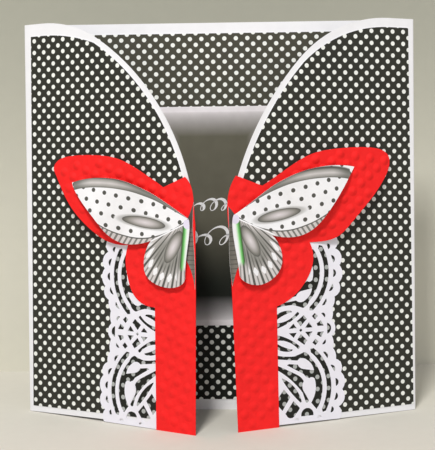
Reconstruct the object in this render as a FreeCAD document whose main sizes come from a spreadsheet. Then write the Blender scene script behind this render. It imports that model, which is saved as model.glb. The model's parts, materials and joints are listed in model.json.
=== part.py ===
import FreeCAD, Part
import math
import os
import Sketcher
from FreeCAD import Placement, Rotation, Vector

# A gatefold card of folded and cut paper, standing on its bottom edges with both gates part open.
# The card frame has X to the right, Y to the back and Z up. Its plane Y = 0 is the front face of the
# back panel. Each gate has a frame of its own on its front face: "across" is the distance from the
# fold towards the free edge, "up" is the height, and "proud" is the distance out of the face.

os.makedirs("parts", exist_ok=True)
doc = FreeCAD.newDocument("gatefold_card")

SIZES = [
    ("card_side", 203.2, "height and width of the closed card, 8 in"),
    ("card_paper", 0.4, "thickness of the folded card"),
    ("fold_inner_radius", 0.6, "radius inside each fold"),
    ("left_gate_angle", 26, "angle of the left gate from the back panel"),
    ("right_gate_angle", 23, "angle of the right gate from the back panel"),
    ("gate_width", 100.5, "fold to free edge"),
    ("left_bottom_drop", 1.4, "drop of the left gate's bottom edge, from fold to free edge"),
    ("right_bottom_drop", 2.6, "drop of the right gate's bottom edge, from fold to free edge"),
    ("lean_angle", 5, "backward lean of the back panel"),
    ("left_sweep_start", 12.1, "where the left gate's top corner starts to curve"),
    ("left_sweep_radius", 62, "first arc of the left corner"),
    ("left_sweep_turn", 32.8, "turn of that first arc"),
    ("left_fall_radius", 125, "second arc of the left corner"),
    ("right_sweep_start", 15.2, "where the right gate's top corner starts to curve"),
    ("right_sweep_radius", 68, "first arc of the right corner"),
    ("right_sweep_turn", 48.1, "turn of that first arc"),
    ("right_fall_radius", 162, "second arc of the right corner"),
    ("mat_paper", 0.2, "thickness of the printed mats"),
    ("left_mat_fold_low", 3.1, "card left bare beside the left fold, at the bottom"),
    ("left_mat_fold_high", 4.8, "card left bare beside the left fold, at the top"),
    ("right_mat_fold_low", 1.8, "card left bare beside the right fold, at the bottom"),
    ("right_mat_fold_high", 3.8, "card left bare beside the right fold, at the top"),
    ("left_mat_top_margin", 6.4, "card left bare along the top of the left gate"),
    ("right_mat_top_margin", 4.7, "card left bare along the top of the right gate"),
    ("mat_bottom_margin", 3, "card left bare along the bottom of a gate"),
    ("mat_edge_margin", 2.8, "card left bare along the curve and the free edge"),
    ("inside_margin", 5.5, "card left bare round the inside mat"),
    ("panel_left", -36, "left edge of the sentiment panel"),
    ("panel_width", 66, "width of the sentiment panel"),
    ("panel_bottom", 44.5, "bottom edge of the sentiment panel"),
    ("panel_height", 115, "height of the sentiment panel"),
    ("lace_paper", 0.25, "thickness of the lace"),
    ("left_lace_centre", 75.9, "distance of the lower fan's middle from the left fold"),
    ("left_lace_centre_up", 13, "height of the lower fan's middle"),
    ("left_lace_tilt", 2.3, "tilt of the strip towards the free edge"),
    ("left_lace_width", 0.91, "width of the left lace against the right one"),
    ("right_lace_centre", 75.4, "distance of the lower fan's middle from the right fold"),
    ("right_lace_centre_up", 14.1, "height of the lower fan's middle"),
    ("right_lace_tilt", 1, "tilt of the strip towards the free edge"),
    ("right_lace_width", 1, "the right lace is the one that's drawn"),
    ("red_paper", 0.3, "thickness of the red card"),
    ("print_paper", 0.25, "thickness of the lower butterfly layer"),
    ("wing_paper", 0.3, "thickness of the upper butterfly layer"),
    ("pad_side", 5, "side of a foam pad"),
    ("pad_depth", 2, "thickness of a foam pad"),
    ("curl_slope", 52, "slope of the line where the wings start to curl"),
    ("curl_across", 85, "a point on that line, at the notch between head and wing"),
    ("curl_up", 117.3, "height of that point"),
]

sheet = doc.addObject("Spreadsheet::Sheet", "Sizes")
for row, (alias, value, meaning) in enumerate(SIZES, start=1):
    sheet.set(f"A{row}", meaning)
    sheet.set(f"B{row}", str(value))
    sheet.setAlias(f"B{row}", alias)
doc.recompute()

Z_AXIS = Vector(0, 0, 1)
SIDES = ("left", "right")
CURL_RUN = 130.0     # how far a bent sheet runs past its piece, each way
CURL_ROOM = 15.0     # how far out of the gate a curled piece may reach
pieces = []          # every sub-part with its placement in the card frame


def size(alias):
    """A driving dimension, as a plain number."""
    return float(sheet.get(alias))


def add_piece(piece, name, placement):
    """Name a sub-part, and note where it sits in the card frame."""
    piece.Label = name
    pieces.append((piece, placement))


# ---------------------------------------------------------------- drawing

def smooth(points):
    """A spline through the points, spaced by the root of each gap so that it doesn't overshoot."""
    knots = [0.0]
    for start, end in zip(points, points[1:]):
        knots.append(knots[-1] + math.sqrt(start.distanceToPoint(end)))
    curve = Part.BSplineCurve()
    curve.interpolate(Points=points, Parameters=knots)
    return curve


def draw(sketch, to_sketch, start, *steps):
    """Draw a closed outline from start. A step lists the points it runs through from the last one:
    one point makes a straight line, two make an arc, and more make a smooth curve."""
    last = start
    for step in steps:
        points = [to_sketch(*point) for point in [last] + step]
        if len(points) == 2:
            sketch.addGeometry(Part.LineSegment(*points))
        elif len(points) == 3:
            sketch.addGeometry(Part.Arc(*points))
        else:
            sketch.addGeometry(smooth(points))
        last = step[-1]


def flat(x, y):
    return Vector(x, y, 0)


def polar(centre, radius, degrees):
    """A point on a circle, with the angle counted from the first axis."""
    angle = math.radians(degrees)
    return centre[0] + radius * math.cos(angle), centre[1] + radius * math.sin(angle)


def body_sketch(body, role):
    """A new sketch on one of the body's own origin planes."""
    plane = next(feature for feature in body.Origin.OriginFeatures if feature.Role == role)
    sketch = body.newObject("Sketcher::SketchObject", body.Name + "_outline")
    sketch.AttachmentSupport = (plane, [""])
    sketch.MapMode = "FlatFace"
    return sketch


def pad(body, sketch, length):
    """Pad a sketch by an expression of the sheet."""
    feature = body.newObject("PartDesign::Pad", body.Name + "_pad")
    feature.Profile = sketch
    feature.setExpression("Length", length)
    return feature


def paper_rectangle(name, paper, left, bottom, width, height, placement):
    """A rectangle of paper, its four sizes held by constraints that follow the sheet."""
    body = doc.addObject("PartDesign::Body", name)
    sketch = body_sketch(body, "XZ_Plane")
    corners = [flat(0, 0), flat(10, 0), flat(10, 10), flat(0, 10)]
    for first, second in zip(corners, corners[1:] + corners[:1]):
        sketch.addGeometry(Part.LineSegment(first, second))
    for side in range(4):
        sketch.addConstraint(Sketcher.Constraint("Coincident", side, 2, (side + 1) % 4, 1))
        direction = "Horizontal" if side % 2 == 0 else "Vertical"
        sketch.addConstraint(Sketcher.Constraint(direction, side))
    sheet_origin, corner, right_end, top_end = (-1, 1), (0, 1), (0, 2), (1, 2)
    for kind, first, second, rule in (("DistanceX", sheet_origin, corner, left),
                                      ("DistanceY", sheet_origin, corner, bottom),
                                      ("DistanceX", corner, right_end, width),
                                      ("DistanceY", right_end, top_end, height)):
        index = sketch.addConstraint(Sketcher.Constraint(kind, *first, *second, 10.0))
        sketch.setExpression(f"Constraints[{index}]", rule)
    pad(body, sketch, paper)
    add_piece(body, name, placement)


# ---------------------------------------------------------------- the gates' frames

class Gate:
    """One gate of the card: its handedness, and the frame of its front face."""

    def __init__(self, side):
        self.side = side
        self.sign = 1 if side == "left" else -1
        self.turn = math.radians(size(side + "_gate_angle"))
        self.inner = size("fold_inner_radius")
        self.outer = self.inner + size("card_paper")
        # the fold's axis, the direction out of the gate's face and the direction along it
        self.axis = Vector(-self.sign * (size("card_side") / 2 - self.outer), -self.inner, 0)
        self.out = Vector(-self.sign * math.sin(self.turn), -math.cos(self.turn), 0)
        self.along = Vector(self.sign * math.cos(self.turn), -math.sin(self.turn), 0)
        # distances across the gate are counted from the card's own corner
        corner = Vector(-self.sign * size("card_side") / 2, 0, 0)
        self.flat_start = (self.axis - corner).dot(self.along)
        self.frame_origin = self.axis + self.out * self.outer - self.along * self.flat_start

    def to_sketch(self, across, up):
        return Vector(self.sign * across, up, 0)

    def layer(self, proud):
        """Placement of a flat layer that lies this far proud of the gate's face."""
        turn = Rotation(Z_AXIS, -self.sign * math.degrees(self.turn))
        return Placement(self.frame_origin + self.out * proud, turn)

    def value(self, alias):
        return size(f"{self.side}_{alias}")

    def floor(self, across, proud):
        """Height, along the gate, of the floor that the leaning card stands on."""
        depth = self.frame_origin.y + self.along.y * across + self.out.y * proud
        return math.tan(math.radians(size("lean_angle"))) * (depth - size("card_paper"))


gates = {side: Gate(side) for side in SIDES}

# heights of the glued layers above a gate's face
lace_base = size("mat_paper")
red_base = lace_base + size("lace_paper")
print_base = red_base + size("red_paper")
wing_base = print_base + size("pad_depth")


def draw_gate_outline(sketch, gate, fold_low, fold_high, bottom, top, edge):
    """A gate's outline, drawn in by margins at the fold's two ends, the bottom, the top and the swept
    edge. The top inner corner is swept away in two arcs, and the first one starts level."""
    high = size("card_side")
    turn = gate.value("sweep_turn")
    start = (gate.value("sweep_start"), high - top)
    sweep_centre = (gate.value("sweep_start"), high - gate.value("sweep_radius"))
    meeting = polar(sweep_centre, gate.value("sweep_radius") - edge, 90 - turn)
    across, down = meeting[0] - start[0], start[1] - meeting[1]
    first_radius = (across ** 2 + down ** 2) / (2 * down)
    first_centre = (start[0], start[1] - first_radius)
    half_turn = math.degrees(math.asin(across / first_radius)) / 2
    second_centre = polar(sweep_centre, gate.value("sweep_radius") - gate.value("fall_radius"), 90 - turn)
    second_radius = gate.value("fall_radius") - edge
    free = size("gate_width") - edge
    end_turn = math.degrees(math.asin((free - second_centre[0]) / second_radius))
    draw(sketch, gate.to_sketch, (fold_low, bottom),
         [(fold_high, high - top)],
         [start],
         [polar(first_centre, first_radius, 90 - half_turn), meeting],
         [polar(second_centre, second_radius, 90 - (turn + end_turn) / 2),
          polar(second_centre, second_radius, 90 - end_turn)],
         [(free, bottom - gate.value("bottom_drop"))],
         [(fold_low, bottom)])


# ---------------------------------------------------------------- the folded card

def make_card_base():
    """One folded sheet: the back panel with a tight round fold at each side, then the two gates."""
    body = doc.addObject("PartDesign::Body", "card_base")
    plan = body_sketch(body, "XY_Plane")
    left, right = gates["left"], gates["right"]

    def on_fold(gate, radius, share):
        """A point of the fold, from the back panel at share 0 to the gate at share 1."""
        sweep = share * (180 - math.degrees(gate.turn))
        across, back = polar((0, 0), radius, 90 + gate.sign * sweep)
        return gate.axis.x + across, gate.axis.y + back

    draw(plan, flat, on_fold(left, left.outer, 0),
         [on_fold(left, left.outer, 0.5), on_fold(left, left.outer, 1)],
         [on_fold(left, left.inner, 1)],
         [on_fold(left, left.inner, 0.5), on_fold(left, left.inner, 0)],
         [on_fold(right, right.inner, 0)],
         [on_fold(right, right.inner, 0.5), on_fold(right, right.inner, 1)],
         [on_fold(right, right.outer, 1)],
         [on_fold(right, right.outer, 0.5), on_fold(right, right.outer, 0)],
         [on_fold(left, left.outer, 0)])
    pad(body, plan, "Sizes.card_side")

    for gate in gates.values():
        # the sketch plane is the body's XZ plane, swung round onto the gate's front face
        sketch = body_sketch(body, "XZ_Plane")
        place = gate.layer(0)
        turn = Rotation(Vector(0, 1, 0), -gate.sign * math.degrees(gate.turn))
        sketch.AttachmentOffset = Placement(Vector(place.Base.x, 0, -place.Base.y), turn)
        draw_gate_outline(sketch, gate, gate.flat_start, gate.flat_start, 0, 0, 0)
        pad(body, sketch, "Sizes.card_paper").Reversed = True
    add_piece(body, "card_base", Placement())


# ---------------------------------------------------------------- mats and panel

def make_inside_layers():
    """The inside mat on the back panel, and the sentiment panel on the mat."""
    margin = "Sizes.inside_margin"
    inside = f"Sizes.card_side - 2 * {margin}"
    paper_rectangle("inside_mat", "Sizes.mat_paper", f"{margin} - Sizes.card_side / 2", margin,
                    inside, inside, Placement())
    on_mat = Placement(Vector(0, -size("mat_paper"), 0), Rotation())
    paper_rectangle("sentiment_panel", "Sizes.mat_paper", "Sizes.panel_left", "Sizes.panel_bottom",
                    "Sizes.panel_width", "Sizes.panel_height", on_mat)


def make_gate_mat(gate):
    """The printed paper on the front of a gate, cut to the gate's outline."""
    name = gate.side + "_gate_mat"
    body = doc.addObject("PartDesign::Body", name)
    sketch = body_sketch(body, "XZ_Plane")
    draw_gate_outline(sketch, gate, gate.value("mat_fold_low"), gate.value("mat_fold_high"),
                      size("mat_bottom_margin"), gate.value("mat_top_margin"), size("mat_edge_margin"))
    pad(body, sketch, "Sizes.mat_paper")
    add_piece(body, name, gate.layer(0))


# ---------------------------------------------------------------- die-cut lace

# The lace is drawn from the middle of its lower fan: the first number of a point runs from there
# towards the fold, the second upwards. The upper half mirrors the lower one about the wheel's middle.
WHEEL_UP = 30.7
LACE_TOP = 81.0
LACE_HIDDEN_EDGE = -10.5
RING_CENTRE = (0.5, 1.5)
RIM_RADIUS = 20.4
SLOT_RADII = (25.3, 22.7)

# dips and crowns of the scalloped edge in turn, from the foot up to the wheel's middle
SCALLOPS = [(30.1, -15.8), (31.1, -12.0), (29.7, -9.5), (33.2, -4.9), (31.9, -0.9), (33.5, 3.4),
            (31.3, 7.9), (31.9, 11.4), (28.7, 14.8), (28.7, 17.3), (27.2, 20.4), (27.6, 23.6),
            (26.7, 26.7), (28.8, WHEEL_UP)]


def eyelet(centre, tilt, length, width):
    """A small slot near the edge: straight on its inner side and round on its outer side."""
    lean = math.radians(tilt)

    def turned(outward, along):
        return (centre[0] + outward * math.cos(lean) - along * math.sin(lean),
                centre[1] + outward * math.sin(lean) + along * math.cos(lean))

    low, high = turned(-width / 2, -length / 2), turned(-width / 2, length / 2)
    return low, [turned(width / 2, 0), high], [low]


def ring_slot(low, high):
    """The slot between the fan's two rings, from one angle to the other, with blunt tips."""
    outer, inner = SLOT_RADII
    middle = (outer + inner) / 2
    tip = math.degrees((outer - inner) / 2 / middle)
    return (polar(RING_CENTRE, outer, low),
            [polar(RING_CENTRE, outer, (low + high) / 2), polar(RING_CENTRE, outer, high)],
            [polar(RING_CENTRE, middle, high + tip)], [polar(RING_CENTRE, inner, high)],
            [polar(RING_CENTRE, inner, (low + high) / 2), polar(RING_CENTRE, inner, low)],
            [polar(RING_CENTRE, middle, low - tip)], [polar(RING_CENTRE, outer, low)])


def fan_opening(low, high):
    """The opening inside the rim, from one angle to the other. It wraps the fan's leaf and petal."""
    return (polar(RING_CENTRE, RIM_RADIUS, low),
            [polar(RING_CENTRE, RIM_RADIUS, (low + high) / 2), polar(RING_CENTRE, RIM_RADIUS, high)],
            # over the shoulder to the band under the lens, and back along the top of the leaf
            [(13.1, 18.5), (10.9, 19.6)], [(7.9, 18.5), (5.1, 17.8)], [(-0.2, 18.2), (-5.6, 19.4)],
            [(-5.6, 17.2)], [(7.3, 15.6)], [(9.6, 16.6), (12.4, 15.6)],
            [(15.1, 13.0), (16.2, 10.0)],
            # wedge between leaf and petal
            [(10.4, 11.1)], [(8.6, 11.9), (7.4, 13.5)], [(2.6, 14.2)], [(1.4, 13.7)],
            [(10.4, 8.6)],
            # round the petal and down to the root
            [(11.7, 7.0)], [(13.7, 6.2)], [(15.4, 6.5), (16.5, 5.7)], [(17.0, 0.6), (15.3, -4.6)],
            [(14.3, -6.3)], [(17.2, -9.8)], [polar(RING_CENTRE, RIM_RADIUS, low)])


LACE_HOLES = [
    ring_slot(-30, 51.3),
    fan_opening(-28.4, 46.8),
    # long gap above the petal, with a narrow tail at the fan's root, and a slim gap beside it
    ((-6.1, 15.0), [(-0.4, 12.2), (6.6, 8.6)], [(8.8, 7.1), (10.5, 4.9)], [(9.7, 2.0), (10.8, -0.9)],
     [(12.9, -4.7)], [(12.2, -6.1), (11.1, -5.1)], [(9.7, -0.8)],
     [(4.3, 5.3), (-6.1, 12.9)], [(-6.1, 15.0)]),
    ((-1.5, 7.4), [(4.9, 2.7), (9.1, -5.2)], [(8.5, -5.8)], [(2.5, 0.8), (-1.5, 6.8)], [(-1.5, 7.4)]),
    # lattice
    ((-0.6, 1.7), [(2.9, -2.5)], [(-1.6, -9.0)], [(-5.5, -4.5)], [(-0.6, 1.7)]),
    ((4.5, -4.6), [(8.1, -8.5)], [(5.3, -12.0)], [(3.1, -13.1), (0.8, -12.0)], [(-0.1, -10.6)],
     [(4.5, -4.6)]),
    # half moon under the root
    ((15.4, -12.7), [(12.0, -8.7), (8.6, -12.7)], [(15.4, -12.7)]),
    # lens between the fans: a curved slot and a small leaf
    ((8.8, 22.6), [(2.4, 26.9), (-6.1, 29.6)], [(-6.1, 26.0)], [(2.2, 25.3), (7.5, 21.6)],
     [(8.6, 21.7), (8.8, 22.6)]),
    ((4.9, 21.3), [(0.8, 22.5), (-3.3, 24.6)], [(-5.7, 23.8)], [(-1.0, 20.9), (4.4, 20.6)],
     [(4.9, 21.3)]),
    # half of the wheel: two triangles, a rhomb, and two small shapes beside them
    ((7.3, 29.6), [(2.9, 29.6)], [(5.5, 27.1)], [(7.3, 29.6)]),
    ((16.0, 29.7), [(11.8, 29.7)], [(14.1, 26.9)], [(16.0, 29.7)]),
    ((9.4, 28.8), [(7.4, 26.0)], [(11.3, 23.2)], [(13.0, 25.3)], [(9.4, 28.8)]),
    ((22.3, 29.2), [(18.8, 29.2)], [(18.3, 27.9)], [(20.7, 26.4)], [(22.3, 29.2)]),
    ((17.5, 25.9), [(15.7, 24.0)], [(17.4, 22.5)], [(19.2, 24.2)], [(17.5, 25.9)]),
    # eyelets from the fan's foot up to the wheel
    eyelet((26.1, -10.9), -15, length=3.1, width=1.6),
    eyelet((28.6, -4.5), -17, length=4.1, width=1.6),
    eyelet((29.1, 3.0), 3, length=4.1, width=1.7),
    eyelet((27.3, 10.5), 30, length=4.2, width=1.5),
    eyelet((23.3, 17.6), 35, length=4.2, width=1.4),
    eyelet((22.5, 23.6), -39, length=3.0, width=1.3),
]

# the hub and the half moon on the wheel's middle line, then two small holes in the bottom border
SINGLE_HOLES = [
    ((10.4, WHEEL_UP), [(9.5, WHEEL_UP + 0.9)], [(8.6, WHEEL_UP)], [(9.5, WHEEL_UP - 0.9)],
     [(10.4, WHEEL_UP)]),
    eyelet((25.3, WHEEL_UP), 0, length=5.6, width=2.3),
    eyelet((18.7, -13.7), 90, length=2.2, width=1.3),
    eyelet((6.3, -13.9), 70, length=1.9, width=1.1),
]


def mirrored(outline):
    """The same outline on the other side of the wheel's middle."""
    start, *steps = outline
    flipped = [[(across, 2 * WHEEL_UP - up) for across, up in step] for step in [[start], *steps]]
    return flipped[0][0], *flipped[1:]


def lace_edge():
    """The strip's outline: scallops up one side, and a straight edge that the red strip covers."""
    edge = SCALLOPS + [(across, 2 * WHEEL_UP - up) for across, up in SCALLOPS[-2::-1]]
    foot, last = edge[0], edge[-1]
    return (foot, *[[crown, dip] for crown, dip in zip(edge[1::2], edge[2::2])],
            [(last[0], LACE_TOP)], [(LACE_HIDDEN_EDGE, LACE_TOP)], [(LACE_HIDDEN_EDGE, foot[1])],
            [foot])


def make_lace_strip(gate):
    """The lace border: a scalloped strip with two fans and a spoked wheel between them."""
    name = gate.side + "_lace_strip"
    body = doc.addObject("PartDesign::Body", name)
    sketch = body_sketch(body, "XZ_Plane")
    tilt = math.radians(gate.value("lace_tilt"))

    def to_sketch(outward, up):
        outward *= gate.value("lace_width")
        return gate.to_sketch(
            gate.value("lace_centre") - outward * math.cos(tilt) + up * math.sin(tilt),
            gate.value("lace_centre_up") + outward * math.sin(tilt) + up * math.cos(tilt))

    for outline in [lace_edge(), *LACE_HOLES, *map(mirrored, LACE_HOLES), *SINGLE_HOLES]:
        draw(sketch, to_sketch, *outline)
    pad(body, sketch, "Sizes.lace_paper")
    add_piece(body, name, gate.layer(lace_base))


# ---------------------------------------------------------------- curled sheets

def bent_sheet(gate, name, paper, hollow, tilt, crown, reach):
    """An endless sheet, flat on one side of the curl line. Beyond the line it first lifts in a hollow
    arc, through the tilt angle, and then rolls over in a long crowned arc."""
    thick = size(paper)
    hollow_centre = (0, hollow)
    lifted = polar(hollow_centre, hollow, tilt - 90)
    crown_centre = polar(lifted, crown, tilt - 90)
    last_turn = math.degrees(math.acos((reach - crown_centre[0]) / crown))
    section = doc.addObject("Sketcher::SketchObject", name + "_section")
    draw(section, flat, (-CURL_RUN, 0),
         [(0, 0)],
         [polar(hollow_centre, hollow, tilt / 2 - 90), lifted],
         [polar(crown_centre, crown, 90), polar(crown_centre, crown, last_turn)],
         [polar(crown_centre, crown + thick, last_turn)],
         [polar(crown_centre, crown + thick, 90), polar(crown_centre, crown + thick, 90 + tilt)],
         [polar(hollow_centre, hollow - thick, tilt / 2 - 90), (0, thick)],
         [(-CURL_RUN, thick)],
         [(-CURL_RUN, 0)])
    slope = math.radians(size("curl_slope"))
    away = Vector(-gate.sign * math.sin(slope), 0, math.cos(slope))
    out = Vector(0, -1, 0)
    section.Placement = Placement(Vector(gate.sign * size("curl_across"), 0, size("curl_up")),
                                  Rotation(away, out, away.cross(out), "XYZ"))
    return extrusion(name + "_sheet", section, CURL_RUN, CURL_RUN)


def extrusion(name, sketch, forward, back):
    """A solid extrusion of a sketch, both ways along its normal."""
    solid = doc.addObject("Part::Extrusion", name)
    solid.Base = sketch
    solid.DirMode = "Normal"
    solid.LengthFwd = forward
    solid.LengthRev = back
    solid.Solid = True
    return solid


def make_curled_piece(gate, name, paper, proud, outline, hollow, tilt, crown, reach):
    """A sheet cut to an outline and curled: the bent sheet that lies within the outline's prism."""
    bent = bent_sheet(gate, name, paper, hollow, tilt, crown, reach)
    sketch = doc.addObject("Sketcher::SketchObject", name + "_outline")
    draw(sketch, gate.to_sketch, *outline)
    sketch.Placement = Placement(Vector(), Rotation(Vector(1, 0, 0), 90))
    piece = doc.addObject("Part::Common", name)
    piece.Base = bent
    piece.Tool = extrusion(name + "_prism", sketch, CURL_ROOM, 1)
    add_piece(piece, name, gate.layer(proud))


# ---------------------------------------------------------------- red panels

# Each outline has the strip's outer edge, the lobe, the wing's lower edge, its tip and top edge,
# the head, and the free edge back down. "stand" is where the strip's foot meets the floor.
def left_red_outline(stand):
    return ((79.1, stand(79.1)), [(79.1, 57.8)],
            [(70.9, 59.9), (65.9, 65.1), (63.1, 73.5), (62.2, 80.7), (63.8, 88.6)],
            [(53.2, 90.0), (44.4, 95.6), (32.8, 107.0), (24.7, 119.4), (20.1, 126.9)],
            [(20.7, 129.9), (24.4, 132.5), (33.0, 133.9), (46.0, 133.9), (60.8, 131.7), (73.2, 125.2),
             (84.6, 117.2)],
            [(96.9, 122.1)],
            [(100.4, 117.0), (101.6, 110.0), (102.4, 99.0)],
            [(102.3, 64.0)], [(101.4, stand(101.4))], [(79.1, stand(79.1))])


def right_red_outline(stand):
    return ((78.9, stand(78.9)), [(79.6, 57.5)],
            [(68.7, 63.7), (61.9, 72.4), (59.4, 80.5), (61.3, 89.0)],
            [(55.9, 89.2), (46.9, 91.6), (37.8, 100.5), (27.2, 111.9), (18.1, 123.7), (16.0, 129.2)],
            [(16.6, 132.8), (20.4, 135.4), (30.7, 136.7), (49.0, 135.7), (63.7, 132.3), (77.5, 123.7),
             (86.8, 117.5)],
            [(100.8, 122.5)],
            [(103.6, 117.5), (105.2, 111.0), (104.6, 95.0)],
            [(103.4, 65.0)], [(100.9, stand(100.9))], [(78.9, stand(78.9))])


def make_red_panel(gate):
    """One cut sheet of red card: strip, lobe, head and wing. The wing curls up off the gate."""
    outlines = {"left": left_red_outline, "right": right_red_outline}
    outline = outlines[gate.side](lambda across: gate.floor(across, red_base))
    make_curled_piece(gate, gate.side + "_red_panel", "red_paper", red_base, outline,
                      hollow=30, tilt=14, crown=111, reach=75)


# ---------------------------------------------------------------- butterfly

BODY_OUTLINES = {
    # from the head's top down the side under the wings, then up the free edge
    "left": ((101.8, 109.8), [(100.3, 105.8), (98.6, 102.2)], [(93.4, 94.5), (94.6, 85.5)],
             [(98.9, 78.9), (102.0, 67.5)], [(102.1, 78.0), (101.5, 90.0)],
             [(101.2, 101.0), (101.8, 109.8)]),
    "right": ((105.0, 107.4), [(103.2, 105.5), (101.5, 103.1)], [(96.4, 95.0), (97.4, 84.5)],
              [(100.9, 76.2), (103.2, 68.5)], [(104.4, 78.0), (104.8, 88.7)],
              [(104.8, 98.5), (105.0, 107.4)]),
}

WING_OUTLINES = {
    # top edge from the forewing's tip to the thorax, inner edge, hindwing, forewing's lower edge
    "left": ((33.6, 120.2), [(48.2, 122.3), (64.1, 120.9), (76.8, 115.6), (91.1, 107.3), (100.0, 101.6)],
             [(100.4, 96.0), (99.0, 86.2), (97.6, 72.6)],
             [(96.0, 69.9), (92.8, 68.4), (88.6, 67.9), (83.4, 68.7), (78.3, 71.0), (75.1, 74.6),
              (74.3, 79.4), (75.4, 85.4), (78.7, 91.0)],
             [(70.0, 89.1), (60.3, 90.0), (53.3, 95.0), (47.6, 102.1), (36.7, 115.0), (33.6, 120.2)]),
    "right": ((38.4, 126.7), [(54.1, 127.2), (69.8, 123.8), (82.9, 116.9), (96.5, 107.5), (103.0, 103.4)],
              [(103.8, 98.0), (102.2, 86.2), (100.2, 73.8)],
              [(97.8, 70.8), (92.8, 68.9), (87.8, 69.1), (82.9, 71.4), (79.2, 75.1), (77.5, 80.0),
               (78.3, 86.4), (82.9, 93.1)],
              [(74.0, 91.8), (66.0, 92.9), (59.8, 96.6), (51.0, 107.9), (42.7, 120.4), (38.4, 126.7)]),
}

PADS = {"forewing": (78, 101), "centre": (88, 98), "hindwing": (84, 78)}
RIGHT_PAD_SHIFT = 3


def make_butterfly(gate):
    """Half a butterfly: the body printed on flat paper, then the wings on three foam pads."""
    name = gate.side + "_butterfly_body"
    body = doc.addObject("PartDesign::Body", name)
    sketch = body_sketch(body, "XZ_Plane")
    draw(sketch, gate.to_sketch, *BODY_OUTLINES[gate.side])
    pad(body, sketch, "Sizes.print_paper")
    add_piece(body, name, gate.layer(print_base))
    make_curled_piece(gate, gate.side + "_butterfly_wings", "wing_paper", wing_base,
                      WING_OUTLINES[gate.side], hollow=15, tilt=20, crown=61.5, reach=60)

    shift = 0 if gate.side == "left" else RIGHT_PAD_SHIFT
    for place, (across, up) in PADS.items():
        foam = doc.addObject("Part::Box", f"{gate.side}_foam_pad_{place}")
        foam.setExpression("Length", "Sizes.pad_side")
        foam.setExpression("Width", "Sizes.pad_depth")
        foam.setExpression("Height", "Sizes.pad_side")
        corner = gate.to_sketch(across + shift, up)
        half = size("pad_side") / 2
        inset = Placement(Vector(corner.x - half, 0, corner.y - half), Rotation())
        add_piece(foam, foam.Name, gate.layer(wing_base) * inset)


# ---------------------------------------------------------------- the whole card

def stand_card():
    """Lean the card back on its bottom edges, with the middle of its box's base at the origin."""
    lean = Placement(Vector(), Rotation(Vector(1, 0, 0), -size("lean_angle")))
    for shift in (None, "centred"):
        if shift:
            box = FreeCAD.BoundBox()
            for piece, _ in pieces:
                box.add(piece.Shape.optimalBoundingBox(False, False))
            lean = Placement(Vector(-box.Center.x, -box.Center.y, -box.ZMin), Rotation()) * lean
        for piece, placement in pieces:
            piece.Placement = lean * placement
        doc.recompute()


def check_document():
    """Stop if anything failed to build, or if a sub-part isn't one sound solid."""
    for item in doc.Objects:
        if "Invalid" in item.State or "Error" in item.State:
            raise RuntimeError(f"{item.Label} failed to build")
    for piece, _ in pieces:
        if piece.Shape.isNull() or not piece.Shape.isValid() or len(piece.Shape.Solids) != 1:
            raise RuntimeError(f"{piece.Label} isn't one sound solid")


make_card_base()
make_inside_layers()
for each_gate in gates.values():
    make_gate_mat(each_gate)
    make_lace_strip(each_gate)
    make_red_panel(each_gate)
    make_butterfly(each_gate)
doc.recompute()
stand_card()
check_document()

for piece, _ in pieces:
    piece.Shape.exportStep(f"parts/{piece.Label}.step")
    print(f"{piece.Label}: {piece.Shape.Volume:.1f} mm3")
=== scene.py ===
import json
import math

import bmesh
import bpy
from mathutils import Color, Matrix, Vector
from mathutils.bvhtree import BVHTree


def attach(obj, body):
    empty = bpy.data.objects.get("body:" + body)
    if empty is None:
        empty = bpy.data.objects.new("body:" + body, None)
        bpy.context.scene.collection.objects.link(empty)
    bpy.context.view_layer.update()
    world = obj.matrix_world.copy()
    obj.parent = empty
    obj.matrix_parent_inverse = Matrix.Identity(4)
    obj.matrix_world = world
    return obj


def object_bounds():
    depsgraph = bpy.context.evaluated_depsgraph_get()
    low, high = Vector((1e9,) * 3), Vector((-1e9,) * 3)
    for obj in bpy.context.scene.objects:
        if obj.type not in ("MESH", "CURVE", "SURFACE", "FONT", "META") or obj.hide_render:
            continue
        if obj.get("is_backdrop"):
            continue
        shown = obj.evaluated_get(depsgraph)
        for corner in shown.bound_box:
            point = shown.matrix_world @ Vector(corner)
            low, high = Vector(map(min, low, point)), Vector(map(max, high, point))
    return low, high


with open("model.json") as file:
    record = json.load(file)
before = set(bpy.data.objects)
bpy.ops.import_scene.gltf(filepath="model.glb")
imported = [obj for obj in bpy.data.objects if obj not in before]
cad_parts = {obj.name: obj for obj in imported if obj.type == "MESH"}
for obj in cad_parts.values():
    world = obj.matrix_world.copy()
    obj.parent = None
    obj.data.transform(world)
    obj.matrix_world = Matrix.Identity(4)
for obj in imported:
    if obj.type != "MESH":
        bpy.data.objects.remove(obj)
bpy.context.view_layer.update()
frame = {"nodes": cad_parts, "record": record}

# ---- Folded card -----------------------------------------------------------------------------
# One sheet of white card, 0.4 mm thick and 203 mm high, scored and folded into a back panel and two
# gates that stand part open. The stock is smooth and matt, with a faint cloud and a fine fibre.

MM = 0.001
CLOUD_SCALE = 140.0
FIBRE_SCALE = 2600.0
FIBRE_DEPTH = 0.03 * MM


def colour(red, green, blue):
    """A colour written as it looks on a screen, 0 to 255, in the values that a shader takes."""
    return (*Color((red / 255, green / 255, blue / 255)).from_srgb_to_scene_linear(), 1)


WHITE = colour(240, 239, 241)


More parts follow.
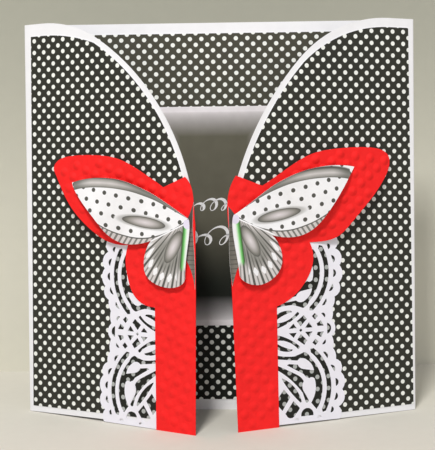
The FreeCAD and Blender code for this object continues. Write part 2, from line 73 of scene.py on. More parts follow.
class Finish:
    """The finish of one paper: what is printed on it, and under the print a faint cloud and fibre."""

    def __init__(self, name, roughness=0.75, sheen=0.2):
        self.material = bpy.data.materials.new(name)
        self.material.use_nodes = True
        self.tree = self.material.node_tree
        self.shader = self.tree.nodes["Principled BSDF"]
        self.shader.inputs["Roughness"].default_value = roughness
        self.shader.inputs["Specular IOR Level"].default_value = sheen
        self.place = self.node("TexCoord", {}, output="Object")

    def node(self, kind, inputs, output=0, **settings):
        """Add a node, set or link its inputs, and return one of its outputs."""
        made = self.tree.nodes.new("ShaderNode" + kind)
        for name, value in settings.items():
            setattr(made, name, value)
        for key, value in inputs.items():
            if isinstance(value, bpy.types.NodeSocket):
                self.tree.links.new(value, made.inputs[key])
            else:
                made.inputs[key].default_value = value
        return made.outputs[output]

    def math(self, operation, *values):
        return self.node("Math", dict(enumerate(values)), operation=operation)

    def vector(self, operation, *values, output="Vector"):
        return self.node("VectorMath", dict(enumerate(values)), output, operation=operation)

    def mix(self, share, first, second, blend="MIX"):
        """The first colour at share 0, the second at share 1."""
        inputs = {0: share, 6: first, 7: second}
        return self.node("Mix", inputs, output=2, data_type="RGBA", blend_type=blend)

    def fade(self, value, start, end):
        """0 before start and 1 past end, with a smooth change between them."""
        inputs = {"Value": value, "From Min": start, "From Max": end}
        return self.node("MapRange", inputs, interpolation_type="SMOOTHSTEP")

    def cover(self, ink, *objects, cloud=0.05, fibre=0.5):
        """Print the ink on the paper, and make these objects of it."""
        mottle = self.node("TexNoise", {"Vector": self.place, "Scale": CLOUD_SCALE, "Detail": 4.0})
        strength = self.node("MapRange", {"Value": mottle, "From Min": 0.3, "From Max": 0.7,
                                          "To Min": 1 - cloud, "To Max": 1 + cloud})
        printed = self.mix(1.0, ink, strength, blend="MULTIPLY")
        self.tree.links.new(printed, self.shader.inputs["Base Color"])
        grain = self.node("TexNoise", {"Vector": self.place, "Scale": FIBRE_SCALE, "Detail": 3.0})
        bump = self.node("Bump", {"Strength": fibre, "Distance": FIBRE_DEPTH, "Height": grain}, "Normal")
        self.tree.links.new(bump, self.shader.inputs["Normal"])
        for thing in objects:
            thing.data.materials.clear()
            thing.data.materials.append(self.material)


nodes = frame["nodes"]
card = Finish("white_card", roughness=0.6)
card.cover(WHITE, nodes["card_base"], cloud=0.02)

# ---- Printed mats ----------------------------------------------------------------------------
# Thin scrapbook paper glued inside the card and on both gates: charcoal, with white polka dots 2.3 mm
# across on a 6 mm square with one more dot in its middle. Inside, a painted sheen lightens it near the
# top and painted shade darkens it towards the foot. Its cut edges and back are white. Where it shows
# through the lace, the lace's shade is painted on it.

DOT_RADIUS = 1.14
INK_BLEED = 0.08
CHARCOAL = colour(50, 50, 43)
# the inside mat's charcoal with a painted sheen near the top, and in painted shade at the foot
INSIDE_SHEENED_INK = colour(72, 70, 59)
INSIDE_SHADED_INK = colour(24, 26, 20)
INSIDE_PAINTED_LIGHT = (40, 165)      # heights on the inside mat between which painted sheen gives way to painted shade
DOT_WHITE = colour(238, 239, 233)
# the lace's shade, painted on a mat where it lies under the lace
LACE_SHADE = colour(188, 190, 192)
UNSHADED = colour(255, 255, 255)
PRINTED_FACING = (0.3, 0.5)     # how squarely a face looks out of the sheet, from no ink to full ink
card_up = Vector((1, 0, 0)).cross(Vector(frame["record"]["mounts"][0]["axis"]))


def front_frame(node, sign, margin):
    """Frame on the front of a flat sheet: x to the viewer's right, y up and z out of the sheet. It
    starts at the card's own corner, from which the margin leads in to the sheet's foot."""
    mesh = nodes[node].data
    out = max(mesh.polygons, key=lambda face: -face.normal.y * face.area).normal
    right = card_up.cross(out)
    corner = Vector((sign * min(sign * right.dot(vertex.co) for vertex in mesh.vertices),
                     min(card_up.dot(vertex.co) for vertex in mesh.vertices),
                     max(out.dot(vertex.co) for vertex in mesh.vertices)))
    axes = Matrix((right, card_up, out)).transposed()
    lead = Vector((sign * margin[0] * MM, margin[1] * MM, 0))
    return Matrix.Translation(axes @ (corner - lead)) @ axes.to_4x4()


def on_sheet(finish, sheet, corner=(0, 0), turn=0, mirror=1):
    """Millimetres across and up a sheet, counted from a point on it, for a finish's print."""
    local = sheet @ Matrix.Translation((corner[0] * MM, corner[1] * MM, 0))
    local = local @ Matrix.Rotation(math.radians(turn), 4, "Z")
    return finish.node("Mapping", {"Vector": finish.place, "Location": local.translation,
                                   "Rotation": local.to_euler(), "Scale": (mirror * MM, MM, MM)},
                       vector_type="TEXTURE")


def across_and_up(finish, point):
    """A point's distance across its sheet and its distance up it."""
    return [finish.node("SeparateXYZ", {0: point}, output=axis) for axis in (0, 1)]


def dots(finish, point, cell, radius):
    """1 on the dots of a lattice that has a dot at each corner of its cells and one in the middle."""
    distances = []
    for shift in (0, 0.5):
        cells = finish.vector("ADD", finish.vector("DIVIDE", point, (*cell, 1)), (shift, shift, 0))
        around = finish.vector("SUBTRACT", finish.vector("FRACTION", cells), (0.5, 0.5, 0))
        flat = finish.vector("MULTIPLY", around, (*cell, 0))
        distances.append(finish.vector("LENGTH", flat, output="Value"))
    nearest = finish.math("MINIMUM", *distances)
    return finish.fade(nearest, radius + INK_BLEED, radius - INK_BLEED)


def rail(finish, value, points):
    """The height of a smooth curve through the points, at a value of its first coordinate."""
    low = [min(point[axis] for point in points) for axis in (0, 1)]
    span = [max(point[axis] for point in points) - low[axis] for axis in (0, 1)]
    share = finish.math("DIVIDE", finish.math("SUBTRACT", value, low[0]), span[0])
    curve = finish.tree.nodes.new("ShaderNodeFloatCurve")
    finish.tree.links.new(share, curve.inputs["Value"])
    spots = [[(point[axis] - low[axis]) / span[axis] for axis in (0, 1)] for point in sorted(points)]
    line = curve.mapping.curves[0]
    line.points[0].location, line.points[1].location = spots[0], spots[-1]
    for spot in spots[1:-1]:
        line.points.new(*spot)
    curve.mapping.update()
    return finish.math("MULTIPLY_ADD", curve.outputs[0], span[1], low[1])


def above(finish, value, line):
    """1 above a line and 0 below it."""
    return finish.fade(finish.math("SUBTRACT", value, line), -INK_BLEED, INK_BLEED)


def print_front(finish, sheet, ink):
    """Ink on the side that faces out of the sheet, and white paper on its edges and back."""
    normal = finish.node("NewGeometry", {}, output="True Normal")
    facing = finish.vector("DOT_PRODUCT", normal, sheet.col[2].xyz, output="Value")
    return finish.mix(finish.fade(facing, *PRINTED_FACING), WHITE, ink)


# the lace's scalloped rim: distance up or down from its wheel, and out from the fans' middle
LACE_RIM = [(0, 27.3), (7, 25.8), (13, 26.5), (20, 30.0), (28, 31.5), (35, 31.0), (42, 28.6), (52, 29.0)]
LACE_WHEEL = 30.7
LACE_REACH = 49.0
# each lace's place on its gate, and its tilt and width
LACES = {"left_gate_mat": ((75.9, 13.0), -2.3, -0.91), "right_gate_mat": ((-75.4, 14.1), 1, 1)}


def under_lace(finish, sheet, place, tilt, width):
    """1 where a mat lies under the lace, and 0 beyond the lace's rim: where the lace's shade is painted.
    """
    outward, up = across_and_up(finish, on_sheet(finish, sheet, place, tilt, width))
    rise = finish.math("ABSOLUTE", finish.math("SUBTRACT", up, LACE_WHEEL))
    return finish.math("MULTIPLY", above(finish, rail(finish, rise, LACE_RIM), outward),
                       above(finish, LACE_REACH, rise))


# the sheet, its side of the card, its margins, one of its dots, and its dots' pitch and turn
MATS = {
    "inside_mat": (1, (5.5, 5.5), (99.0, 182.85), 6.01, 0.3),
    "left_gate_mat": (1, (3.1, 1.6), (24.8, 163.8), 6.07, -0.7),
    "right_gate_mat": (-1, (1.8, 0.4), (-37.2, 159.2), 6.14, 0.55),
}
sheets = {}
for name, (sign, margin, first_dot, pitch, turn) in MATS.items():
    sheets[name] = front_frame(name, sign, margin)
    mat = Finish(name + "_print", roughness=0.55)
    point = on_sheet(mat, sheets[name], first_dot, turn)
    ground = CHARCOAL
    # inside, painted sheen near the top and painted shade towards the foot
    if name == "inside_mat":
        _, height = across_and_up(mat, on_sheet(mat, sheets[name]))
        ground = mat.mix(mat.fade(height, *INSIDE_PAINTED_LIGHT), INSIDE_SHADED_INK, INSIDE_SHEENED_INK)
    dotted = mat.mix(dots(mat, point, (pitch, pitch), DOT_RADIUS), ground, DOT_WHITE)
    # paint the lace's shade on the mat beneath it
    if name in LACES:
        shade = mat.mix(under_lace(mat, sheets[name], *LACES[name]), UNSHADED, LACE_SHADE)
        dotted = mat.mix(1.0, dotted, shade, blend="MULTIPLY")
    mat.cover(print_front(mat, sheets[name], dotted), nodes[name])

# ---- Sentiment panel -------------------------------------------------------------------------
# A rectangle of printed paper on the inside mat: white along its edges and charcoal in the middle,
# with painted shade that darkens it towards the foot. White pen flourishes run across it, in two rows
# of slanted loops.

FEATHER = (2.7, 15.7)           # distances from the edge between which white turns to ink
FEATHER_POWER = 0.5
PANEL_GREY = colour(100, 97, 83)
# the panel's charcoal in painted shade, at its foot
PANEL_SHADED_INK = colour(26, 30, 24)
PANEL_EDGE = colour(236, 230, 232)
PANEL_PAINTED_SHADE = (62, 108)       # heights on the inside mat over which painted shade darkens the panel's ink
inside = sheets["inside_mat"]


def extent(node, sheet):
    """Lowest and highest corner of a node, in millimetres across and up a sheet."""
    spots = [sheet.inverted() @ vertex.co / MM for vertex in nodes[node].data.vertices]
    low = [min(spot[axis] for spot in spots) for axis in (0, 1)]
    high = [max(spot[axis] for spot in spots) for axis in (0, 1)]
    return low, high


panel_low, panel_high = extent("sentiment_panel", inside)
panel = Finish("sentiment_panel_print", roughness=0.6)
across, up = across_and_up(panel, on_sheet(panel, inside))
margins = [panel.math("SUBTRACT", across, panel_low[0]), panel.math("SUBTRACT", panel_high[0], across),
           panel.math("SUBTRACT", up, panel_low[1]), panel.math("SUBTRACT", panel_high[1], up)]
nearest = panel.math("MINIMUM", panel.math("MINIMUM", *margins[:2]), panel.math("MINIMUM", *margins[2:]))
# painted shade darkens the panel's middle towards its foot
middle = panel.mix(panel.fade(up, *PANEL_PAINTED_SHADE), PANEL_SHADED_INK, PANEL_GREY)
inwards = panel.node("MapRange", {"Value": nearest, "From Min": FEATHER[0], "From Max": FEATHER[1]})
feathered = panel.mix(panel.math("POWER", inwards, FEATHER_POWER), PANEL_EDGE, middle)
panel.cover(print_front(panel, inside, feathered), nodes["sentiment_panel"])

PEN_WHITE = colour(244, 243, 244)
PEN_LIFT = 0.03 * MM
PEN_DEPTH = 0.04 * MM
PEN_SLANT = 0.35
PEN_HAIR = 0.4                  # the thinnest line, and how much the slanted nib adds to it
PEN_NIB = Vector((1.1, 0.75))
LOOP_STEPS = 24
LOOP_WIDTH = 0.42               # half the width of a loop, against its height
LOOP_SWELL = 0.25
# each row's start and foot on the inside mat, the number of its loops, and their pitch and height
PEN_ROWS = ((76, 105, 8, 5.4, 6.5), (80, 87, 5, 7.4, 9.5))


def pen_stroke(shape, sheet, path, height):
    """A stroke of a broad pen along a path: as wide as the nib across it, and thin along it."""
    steps = len(path) - 1
    grid = bmesh.ops.create_grid(shape, x_segments=steps, y_segments=1, size=0.5)["verts"]
    for vertex in grid:
        step = round((vertex.co.x + 0.5) * steps)
        side = 1 if vertex.co.y > 0 else -1
        run = (path[min(step + 1, steps)] - path[max(step - 1, 0)]).normalized()
        normal = Vector((-run.y, run.x))
        half = normal * (PEN_HAIR + max(0, normal.dot(PEN_NIB))) * side / 2
        spot = path[step] + half
        vertex.co = sheet @ Vector((spot.x * MM, spot.y * MM, height))


def loops(start, rise, count, pitch, height):
    """A slanted running line of pen loops, between two low tails."""
    line = []
    for step in range(LOOP_STEPS * count + 1):
        turn = step / LOOP_STEPS * math.tau
        size = height * (1 - LOOP_SWELL + LOOP_SWELL * math.cos(turn / count * 2))
        x = start + pitch * step / LOOP_STEPS - LOOP_WIDTH * size * math.sin(turn)
        y = rise + size * (1 - math.cos(turn)) / 2
        line.append(Vector((x + PEN_SLANT * (y - rise), y)))
    return line


flourish_shape = bmesh.new()
panel_front = max((inside.inverted() @ vertex.co).z for vertex in nodes["sentiment_panel"].data.vertices)
for row in PEN_ROWS:
    pen_stroke(flourish_shape, inside, loops(*row), panel_front + PEN_LIFT)
for face in flourish_shape.faces:
    if face.normal.dot(inside.col[2].xyz) < 0:
        face.normal_flip()
bmesh.ops.solidify(flourish_shape, geom=flourish_shape.faces[:], thickness=PEN_DEPTH)


def piece(name, shape):
    """Close a bmesh into a piece of the object, attached to the root."""
    mesh = bpy.data.meshes.new(name)
    shape.to_mesh(mesh)
    shape.free()
    made = bpy.data.objects.new(name, mesh)
    bpy.context.scene.collection.objects.link(made)
    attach(made, "root")
    return made


flourish = piece("panel_flourish", flourish_shape)
pen = Finish("white_pen")
pen.cover(PEN_WHITE, flourish)

# ---- Lace strips -----------------------------------------------------------------------------
# White lace paper, 0.25 mm thick, die-cut with fans, a spoked wheel and a scalloped edge with
# eyelets, glued over the lower part of each gate's mat. It has a faint lilac cast.

LACE_WHITE = colour(240, 238, 246)

lace = Finish("lace_paper", roughness=0.65)
lace.cover(LACE_WHITE, nodes["left_lace_strip"], nodes["right_lace_strip"], cloud=0.02)

# ---- Red panels ------------------------------------------------------------------------------
# Bright red card cut in one piece: an upright strip, a round lobe, a head and a wing that curls off
# the gate. It is embossed all over with small round domes, 6.3 mm apart, which are pressed flatter
# where the card is glued, and it is felted between them.

RED_DEEP = colour(242, 26, 27)
RED_BRIGHT = colour(253, 43, 41)
FELT_SCALE = 420.0
DOME_PITCH = 6.3
DOME_RADIUS = 2.7
DOME_HEIGHT = 0.95
DOME_SINK = 0.05
DOME_RINGS = 4
DOME_SIDES = 12
DOME_RIM = 0.9                  # a dome is left out if the sheet ends within this share of its radius
RIM_POINTS = 8
PRESSED = 0.6                   # height of a dome where the card is glued, against one on the free wing
FREE_WING = (87, 86)            # the wing is above this height and nearer the fold than this
REACH = 30 * MM
# the place of one dome on each gate, and the turn of the rows
DOME_ROWS = {"left": ((90.7, 35.5), -24), "right": ((-89.2, 35.3), 38)}


def cover_of(node):
    """A node's surface, ready to be touched by rays."""
    return BVHTree.FromObject(nodes[node], bpy.context.evaluated_depsgraph_get())


def touch(sheet, cover, x, y):
    """Where a line square to the sheet first meets a surface from the front, and its normal there."""
    spot, normal, _, _ = cover.ray_cast(sheet @ Vector((x * MM, y * MM, REACH)), -sheet.col[2].xyz)
    return spot, normal


def dome():
    """One bell-shaped dome, standing on the origin, with a closed base."""
    shape = bmesh.new()
    profile = []
    for ring in range(DOME_RINGS + 1):
        radius = DOME_RADIUS * (1 - ring / DOME_RINGS)
        height = DOME_HEIGHT * (1 - (radius / DOME_RADIUS) ** 2) ** 1.5 - DOME_SINK
        profile.append(shape.verts.new((radius * MM, 0, height * MM)))
    edges = [shape.edges.new(pair) for pair in zip(profile, profile[1:])]
    bmesh.ops.spin(shape, geom=profile + edges, axis=(0, 0, 1), cent=(0, 0, 0), steps=DOME_SIDES,
                   angle=math.tau, use_merge=True)
    bmesh.ops.remove_doubles(shape, verts=shape.verts, dist=0.001 * MM)
    rim = [edge for edge in shape.edges if edge.is_boundary]
    bmesh.ops.holes_fill(shape, edges=rim, sides=0)
    bmesh.ops.recalc_face_normals(shape, faces=shape.faces)
    for face in shape.faces:
        face.smooth = True
    for edge in rim:
        edge.smooth = False
    mesh = bpy.data.meshes.new("dome")
    shape.to_mesh(mesh)
    shape.free()
    return mesh


def lattice_spots(low, high, first, pitch, turn):
    """The spots of a square lattice, turned by an angle, that lie between two corners."""
    reach = int((Vector(high) - Vector(low)).length / pitch) + 2
    row = Vector((math.cos(math.radians(turn)), math.sin(math.radians(turn)))) * pitch
    column = Vector((-row.y, row.x))
    for i in range(-reach, reach + 1):
        for j in range(-reach, reach + 1):
            spot = Vector(first) + row * i + column * j
            if low[0] <= spot.x <= high[0] and low[1] <= spot.y <= high[1]:
                yield spot


def emboss(stamp, side, first, turn):
    """Copies of a dome all over a red panel, but for those that its cut edge or the glued layer would
    cross."""
    sheet = sheets[side + "_gate_mat"]
    red = cover_of(side + "_red_panel")
    glued = cover_of(side + "_butterfly_body")
    low, high = extent(side + "_red_panel", sheet)
    shape = bmesh.new()
    for spot in lattice_spots(low, high, first, DOME_PITCH, turn):
        rim = [spot + Vector((math.cos(angle), math.sin(angle))) * DOME_RADIUS * DOME_RIM
               for angle in (math.tau * share / RIM_POINTS for share in range(RIM_POINTS))]
        whole = all(touch(sheet, red, *point)[0] for point in rim)
        free = not any(touch(sheet, glued, *point)[0] for point in rim)
        if whole and free:
            place, normal = touch(sheet, red, *spot)
            on_wing = spot.y > FREE_WING[0] and abs(spot.x) < FREE_WING[1]
            turned = Matrix.Translation(place) @ normal.to_track_quat("Z", "Y").to_matrix().to_4x4()
            if not on_wing:
                turned = turned @ Matrix.Scale(PRESSED, 4, (0, 0, 1))
            old = len(shape.verts)
            shape.from_mesh(stamp)
            shape.verts.ensure_lookup_table()
            bmesh.ops.transform(shape, matrix=turned, verts=shape.verts[old:])
    return piece(side + "_red_embossing", shape)


one_dome = dome()
embossed = [emboss(one_dome, side, *rows) for side, rows in DOME_ROWS.items()]
red_card = Finish("red_card", roughness=0.7)
felt = red_card.node("TexNoise", {"Vector": red_card.place, "Scale": FELT_SCALE, "Detail": 5.0,
                                  "Roughness": 0.6})
red_ink = red_card.mix(felt, RED_DEEP, RED_BRIGHT)
red_card.cover(red_ink, nodes["left_red_panel"], nodes["right_red_panel"], *embossed, fibre=0.8)

# ---- Butterfly bodies ------------------------------------------------------------------------
# The lower layer of the butterfly, printed and cut by hand and glued flat on the red card: half of
# a grey body with a dark head and a ring every 2.25 mm.

BODY_GREY = colour(150, 146, 137)
BODY_SHADE = colour(112, 109, 101)
BODY_SHADING = (-3, 2)          # distances across the body between which it turns darker
BODY_LINE = colour(84, 82, 76)
HEAD_FOOT = (-6, -3)            # heights between which the ringed body turns into the dark head
RING_PITCH = 2.25
RING_LINE = (0.3, 0.12)
RING_DEPTH = 0.8
# the thorax on each gate, how far the whole print is turned there, and its width against the left's
THORAX = {"left": (1, (100.0, 101.6), 0, 1), "right": (-1, (-103.0, 103.8), 1.75, 0.955)}

for side, (sign, thorax, turn, width) in THORAX.items():
    sheet = sheets[side + "_gate_mat"]
    body = Finish(side + "_butterfly_body_print")
    across, up = across_and_up(body, on_sheet(body, sheet, thorax, turn, sign * width))
    shaded = body.mix(body.fade(across, *BODY_SHADING), BODY_GREY, BODY_SHADE)
    ring = body.math("FRACT", body.math("DIVIDE", up, RING_PITCH))
    line = body.math("MULTIPLY", body.fade(ring, *RING_LINE), RING_DEPTH)
    ringed = body.mix(line, shaded, BODY_LINE)
    headed = body.mix(body.fade(up, *HEAD_FOOT), ringed, BODY_LINE)
    body.cover(print_front(body, sheet, headed), nodes[side + "_butterfly_body"])

# ---- Butterfly wings -------------------------------------------------------------------------
# The upper layer, printed, cut and curled by hand, and held off the body by foam pads: a forewing
# with a shaded front band, rows of dots and a hatched border, and a veined hindwing with pale spots.
# Each of them has an oval cell.

VEIN = colour(92, 91, 86)
WING_GREY = colour(150, 148, 142)
WING_PALE = colour(212, 206, 204)
WING_WHITE = colour(247, 246, 248)
PRINT_INK = colour(86, 85, 80)
BAND_DULL = colour(98, 100, 92)
CELL_SHADES = ((0.0, colour(226, 218, 220)), (0.4, colour(200, 193, 192)), (0.8, colour(140, 137, 130)),
               (1.0, VEIN))
HATCH_SLOPE = 0.7
HATCH_PITCH = 3.1


def ramp(finish, value, *stops):
    """A row of colours, blended from one share of the way to the next."""
    made = finish.tree.nodes.new("ShaderNodeValToRGB")
    finish.tree.links.new(value, made.inputs[0])
    elements = made.color_ramp.elements
    elements[0].position, elements[0].color = stops[0]
    elements[1].position, elements[1].color = stops[-1]
    for position, shade in stops[1:-1]:
        elements.new(position).color = shade
    return made.outputs[0]


def hatching(finish, across, up):
    """Slanted pale stripes with narrower grey ones between, and a fine dark line along each side."""
    run = finish.math("SUBTRACT", across, finish.math("MULTIPLY", up, HATCH_SLOPE))
    stripe = finish.math("FRACT", finish.math("DIVIDE", run, HATCH_PITCH))
    return ramp(finish, stripe, (0.0, WING_PALE), (0.44, WING_PALE), (0.56, VEIN), (0.68, WING_GREY),
                (0.8, VEIN), (0.92, WING_PALE), (1.0, WING_PALE))


def seen_from(finish, point, spot, turn, size=(1, 1)):
    """A point as counted from a spot on the wing, along turned lines and in a size of its own."""
    return finish.node("Mapping", {"Vector": point, "Location": (*spot, 0),
                                   "Rotation": (0, 0, math.radians(turn)), "Scale": (*size, 1)},
                       vector_type="TEXTURE")


def oval(finish, point, middle, turn, size):
    """Distance from the middle of an oval, which is 1 on its rim."""
    inner = seen_from(finish, point, middle, turn, size)
    return finish.vector("LENGTH", finish.vector("MULTIPLY", inner, (1, 1, 0)), output="Value")


def with_cell(finish, reach, ground):
    """The ground with an oval cell on it: pale in the middle, dark along its rim, in a soft halo."""
    halo = finish.mix(finish.math("MULTIPLY", finish.fade(reach, 1.4, 1.05), 0.6), ground, WING_GREY)
    return finish.mix(finish.fade(reach, 1.04, 0.98), halo, ramp(finish, reach, *CELL_SHADES))


# the forewing's sizes, in millimetres across and up from the thorax: first its front edge, from the
# tip inwards
WING_TOP = [(-66.4, 18.6), (-58.5, 20.4), (-49.0, 20.7), (-35.9, 19.0), (-22.5, 13.7), (-8.9, 5.7), (0, 0)]
BAND_SHARE = 0.77               # where the shaded band ends below, against the front edge's height
BAND_END = -65.2
BAND_TRIM = (1.3, 1.1)
BAND_DULL_INNER = (-42, -22)    # the band turns dull towards the body and towards the tip
BAND_DULL_TIP = (-54, -64)
BAND_DULLNESS = 0.75
# the place and turn of the dots' rows, and the place, turn and half sizes of the oval cell
DOT_ROWS = ((-30.6, 4.4), -13)
PRINT_DOTS = (6.6, 10.6)
PRINT_DOT_RADIUS = 1.1
FOREWING_CELL = ((-25.0, -1.6), -9, (12.0, 2.7))
CELL_CLEARANCE = (1.3, 1.4)
BORDER_LENGTH = 58.0
BORDER_RISE = 3.0
BORDER_SAG = 11.0
BORDER_LINE = (0.4, 0.2)


def forewing(finish, point, across, up):
    """The forewing: dots on white, a shaded band in front, a hatched border behind, and a cell."""
    cell = oval(finish, point, *FOREWING_CELL)
    rows = dots(finish, seen_from(finish, point, *DOT_ROWS), PRINT_DOTS, PRINT_DOT_RADIUS)
    spots = finish.math("MULTIPLY", rows, finish.fade(cell, *CELL_CLEARANCE))
    celled = with_cell(finish, cell, finish.mix(spots, WING_WHITE, PRINT_INK))
    share = finish.math("DIVIDE", across, -BORDER_LENGTH)
    sag = finish.math("MULTIPLY", share, finish.math("SUBTRACT", 1, share))
    line = finish.math("MULTIPLY_ADD", sag, -4 * BORDER_SAG, finish.math("MULTIPLY", share, BORDER_RISE))
    bordered = finish.mix(above(finish, up, line), hatching(finish, across, up), celled)
    from_line = finish.math("ABSOLUTE", finish.math("SUBTRACT", up, line))
    lined = finish.mix(finish.fade(from_line, *BORDER_LINE), bordered, VEIN)
    top = rail(finish, across, WING_TOP)
    foot = finish.math("MULTIPLY", top, BAND_SHARE)
    height = finish.math("DIVIDE", finish.math("SUBTRACT", up, foot), finish.math("SUBTRACT", top, foot))
    band = ramp(finish, height, (0.0, VEIN), (0.12, WING_GREY), (0.5, WING_PALE), (0.86, WING_GREY),
                (1.0, VEIN))
    dull = finish.math("MAXIMUM", finish.fade(across, *BAND_DULL_INNER),
                       finish.fade(across, *BAND_DULL_TIP))
    shaded = finish.mix(finish.math("MULTIPLY", dull, BAND_DULLNESS), band, BAND_DULL)
    in_band = finish.math("MULTIPLY", above(finish, up, foot), above(finish, across, BAND_END))
    trimmed = finish.math("MULTIPLY", in_band, finish.fade(height, *BAND_TRIM))
    return finish.mix(trimmed, lined, shaded)


FAN_ROOT = (-2.5, 1.5)
VEINS = 46
FINE_RAYS = (-12, -20)          # heights between which finer rays come in between the veins
FINE_DEPTH = 0.7
RIM_MIDDLE = (-11.5, -18.0)
RIM_PALE = (5, 13)              # distances from that middle between which the ground turns pale
RIM_SPOTS = 10.8
SPOTS_OUT = (-6, -8)            # the spots lie past these, outwards and downwards
SPOTS_DOWN = (-11, -13)
HINDWING_CELL = ((-8.6, -13.6), 60, (8.8, 3.4))
SIDE_LEAN = 0.103               # the wing's edge by the body, and how far it leans
SIDE_EDGE = 0.62
SIDE_BREADTH = 5
SIDE_END = (3.9, 3.1)
SIDE_FOOT = (-26, -23)
SIDE_SHADES = ((0.0, WING_WHITE), (0.1, WING_WHITE), (0.24, colour(206, 240, 200)),
               (0.38, colour(126, 206, 120)), (0.52, colour(80, 146, 72)), (0.66, colour(72, 84, 60)),
               (1.0, colour(104, 104, 94)))


def hindwing(finish, point, across, up):
    """The hindwing: rays that fan out from the thorax, an oval cell, a row of pale spots near the rim
    and, along the body, a green stripe beside a white one."""
    x, y = across_and_up(finish, finish.vector("SUBTRACT", point, (*FAN_ROOT, 0)))
    angle = finish.math("ARCTAN2", y, x)
    bold = finish.math("COSINE", finish.math("MULTIPLY", angle, VEINS))
    fine = finish.math("COSINE", finish.math("MULTIPLY", angle, 2 * VEINS))
    from_middle = finish.vector("SUBTRACT", point, (*RIM_MIDDLE, 0))
    reach = finish.vector("LENGTH", finish.vector("MULTIPLY", from_middle, (1, 1, 0)), output="Value")
    pale = finish.mix(finish.fade(reach, *RIM_PALE), WING_GREY, WING_PALE)
    outwards = finish.math("MULTIPLY", finish.fade(up, *FINE_RAYS), FINE_DEPTH)
    fanned = finish.mix(finish.math("MULTIPLY", finish.fade(fine, 0.2, 0.9), outwards), pale, VEIN)
    veined = finish.mix(finish.fade(bold, 0.5, 0.85), fanned, VEIN)
    near_rim = finish.math("ABSOLUTE", finish.math("SUBTRACT", reach, RIM_SPOTS))
    spot = finish.fade(finish.math("MULTIPLY_ADD", bold, 1.5, near_rim), 0.9, 0.3)
    outer = finish.math("MULTIPLY", finish.fade(across, *SPOTS_OUT), finish.fade(up, *SPOTS_DOWN))
    spotted = finish.mix(finish.math("MULTIPLY", spot, outer), veined, WING_WHITE)
    celled = with_cell(finish, oval(finish, point, *HINDWING_CELL), spotted)
    edge = finish.math("SUBTRACT", finish.math("MULTIPLY_ADD", up, SIDE_LEAN, SIDE_EDGE), across)
    side = ramp(finish, finish.math("DIVIDE", edge, SIDE_BREADTH), *SIDE_SHADES)
    striped = finish.math("MULTIPLY", finish.fade(edge, *SIDE_END), finish.fade(up, *SIDE_FOOT))
    return finish.mix(striped, celled, side)


PARTING_SLOPE = 0.44            # the line between the two wings, and the white cut along its inner part
PARTING_RISE = -1.45
PARTING_WIDTH = (0.45, 0.3)
PARTING_END = (-24, -21)
KNOT_LILAC = colour(232, 224, 242)    # a pale patch where both wings meet the thorax
KNOT_MIDDLE = (-0.8, -2.5)
KNOT_SHRINK = (0.46, 0.42)

for side, (sign, thorax, turn, width) in THORAX.items():
    sheet = sheets[side + "_gate_mat"]
    wings = Finish(side + "_butterfly_wings_print", roughness=0.55)
    point = on_sheet(wings, sheet, thorax, turn, sign * width)
    across, up = across_and_up(wings, point)
    parting = wings.math("MULTIPLY_ADD", across, PARTING_SLOPE, PARTING_RISE)
    below = above(wings, parting, up)
    both = wings.mix(below, forewing(wings, point, across, up), hindwing(wings, point, across, up))
    gap = wings.math("ABSOLUTE", wings.math("SUBTRACT", up, parting))
    in_gap = wings.math("MULTIPLY", wings.fade(gap, *PARTING_WIDTH), wings.fade(across, *PARTING_END))
    parted = wings.mix(in_gap, both, WING_WHITE)
    from_knot = wings.vector("SUBTRACT", point, (*KNOT_MIDDLE, 0))
    knot = wings.vector("LENGTH", wings.vector("MULTIPLY", from_knot, (*KNOT_SHRINK, 0)), output="Value")
    knotted = wings.mix(wings.fade(knot, 1.05, 0.9), parted, KNOT_LILAC)
    wings.cover(print_front(wings, sheet, knotted), nodes[side + "_butterfly_wings"])

# ---- Foam pads -------------------------------------------------------------------------------
# Square pads of white double-sided foam, 2 mm thick, between the body layer and the wings. Their
# cut sides show small closed cells.

PORE_SCALE = 3200.0
PORE_GREY = colour(214, 214, 216)
FOAM_WHITE = colour(240, 240, 241)

foam = Finish("white_foam", roughness=0.9)
pores = foam.node("TexVoronoi", {"Vector": foam.place, "Scale": PORE_SCALE}, output="Distance")
foam_ink = foam.mix(pores, PORE_GREY, FOAM_WHITE)
foam.cover(foam_ink, *(thing for name, thing in nodes.items() if "foam_pad" in name))

# ---- Table and backdrop ----------------------------------------------------------------------
# A pale table top, and a plain grey board that stands on it a little behind the card, with painted
# shade that darkens it higher up. From behind, the board lets the card be seen.

TABLE_PALE = colour(213, 209, 198)
# the board lit near the table, and in painted shade higher up
BOARD_LIT_INK = colour(222, 219, 204)
BOARD_SHADED_INK = colour(168, 167, 153)
BOARD_PAINTED_SHADE = (0.04, 0.24)    # heights, in metres, over which painted shade darkens the board upwards
BACKDROP_GAP = 74 * MM
BACKDROP_TURN = 3.4
STAGE_HALF = 3.0


def stage_plane(name, place):
    """A large plain plane that isn't part of the object, put in its place by a matrix, and its finish."""
    shape = bmesh.new()
    bmesh.ops.create_grid(shape, x_segments=1, y_segments=1, size=STAGE_HALF)
    bmesh.ops.transform(shape, matrix=place, verts=shape.verts)
    mesh = bpy.data.meshes.new(name)
    shape.to_mesh(mesh)
    shape.free()
    plane = bpy.data.objects.new(name, mesh)
    bpy.context.scene.collection.objects.link(plane)
    plane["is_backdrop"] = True
    return plane, Finish(name, roughness=0.8)


floor_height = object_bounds()[0].z
table, table_top = stage_plane("table", Matrix.Translation((0, 0, floor_height)))
table_top.cover(TABLE_PALE, table, cloud=0.01, fibre=0.0)

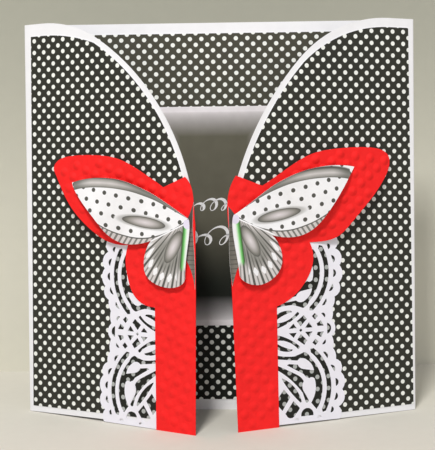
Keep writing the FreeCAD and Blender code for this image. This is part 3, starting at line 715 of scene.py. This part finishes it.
board_place = Matrix.Translation((0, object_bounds()[1].y + BACKDROP_GAP, floor_height + STAGE_HALF))
board_place = board_place @ Matrix.Rotation(math.radians(BACKDROP_TURN), 4, "Z")
backdrop, board = stage_plane("backdrop", board_place @ Matrix.Rotation(math.radians(90), 4, "X"))
height = board.node("SeparateXYZ", {0: board.place}, output=2)
# painted shade darkens the board higher up
board.cover(board.mix(board.fade(height, *BOARD_PAINTED_SHADE), BOARD_LIT_INK, BOARD_SHADED_INK), backdrop,
            cloud=0.01, fibre=0.0)
behind = board.node("NewGeometry", {}, output="Backfacing")
clear = board.node("BsdfTransparent", {})
one_sided = board.node("MixShader", {0: behind, 1: board.shader.outputs[0], 2: clear})
output = board.tree.nodes["Material Output"]
board.tree.links.new(one_sided, output.inputs["Surface"])

# ---- Light and camera ------------------------------------------------------------------------
# A soft lamp high up and a little to the left, a faint one from the right, an even room light all
# round, and a camera in front that looks slightly down on the card.

ROOM_SHADE = colour(236, 238, 246)
ROOM_LIGHT = 0.5
LAMP_SHADE = colour(255, 254, 252)

scene = bpy.context.scene
scene.view_settings.view_transform = "Standard"
world = bpy.data.worlds.new("room")
world.use_nodes = True
room = world.node_tree.nodes["Background"]
room.inputs["Color"].default_value = ROOM_SHADE
room.inputs["Strength"].default_value = ROOM_LIGHT
scene.world = world

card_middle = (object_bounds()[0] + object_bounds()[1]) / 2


def lamp(name, azimuth, elevation, distance, size, power):
    """A square soft lamp aimed at the middle of the card. Azimuth 0 is in front, and 90 to the right."""
    turn, rise = math.radians(azimuth), math.radians(elevation)
    away = Vector((math.sin(turn) * math.cos(rise), -math.cos(turn) * math.cos(rise), math.sin(rise)))
    data = bpy.data.lights.new(name, "AREA")
    data.size = size
    data.energy = power
    data.color = LAMP_SHADE[:3]
    made = bpy.data.objects.new(name, data)
    made.location = card_middle + away * distance
    made.rotation_euler = away.to_track_quat("Z", "Y").to_euler()
    scene.collection.objects.link(made)


lamp("key", azimuth=-13, elevation=54, distance=1.3, size=0.2, power=13.2)
lamp("fill", azimuth=48, elevation=20, distance=1.3, size=0.5, power=0.7)

CARD_SIDE = 203.2 * MM          # the back panel's height, and the thickness of its card
CARD_PAPER = 0.4 * MM
CAMERA_LENS = 90.24
CAMERA_SENSOR = 36
# the camera's place from the foot of the back panel: right, back and up the card, and how it is turned
CAMERA_PLACE = (20.4, -592.2, 113.4)
CAMERA_YAW = 2.09
CAMERA_PITCH = -1.55
CAMERA_ROLL = 0.58

mount = frame["record"]["mounts"][0]
card_back = Vector(mount["axis"])
card_foot = Vector(mount["pos_m"]) - card_back * CARD_PAPER - card_up * CARD_SIDE / 2
card_frame = Matrix((Vector((1, 0, 0)), card_back, card_up)).transposed().to_4x4()
card_frame.translation = card_foot
camera = bpy.data.objects.new("camera", bpy.data.cameras.new("camera"))
camera.data.lens = CAMERA_LENS
camera.data.sensor_width = CAMERA_SENSOR
scene.collection.objects.link(camera)
camera.matrix_world = (card_frame @ Matrix.Translation(Vector(CAMERA_PLACE) * MM)
                       @ Matrix.Rotation(math.radians(CAMERA_YAW), 4, "Z")
                       @ Matrix.Rotation(math.radians(CAMERA_PITCH), 4, "X")
                       @ Matrix.Rotation(math.radians(CAMERA_ROLL), 4, "Y")
                       @ Matrix.Rotation(math.radians(90), 4, "X"))
scene.camera = camera
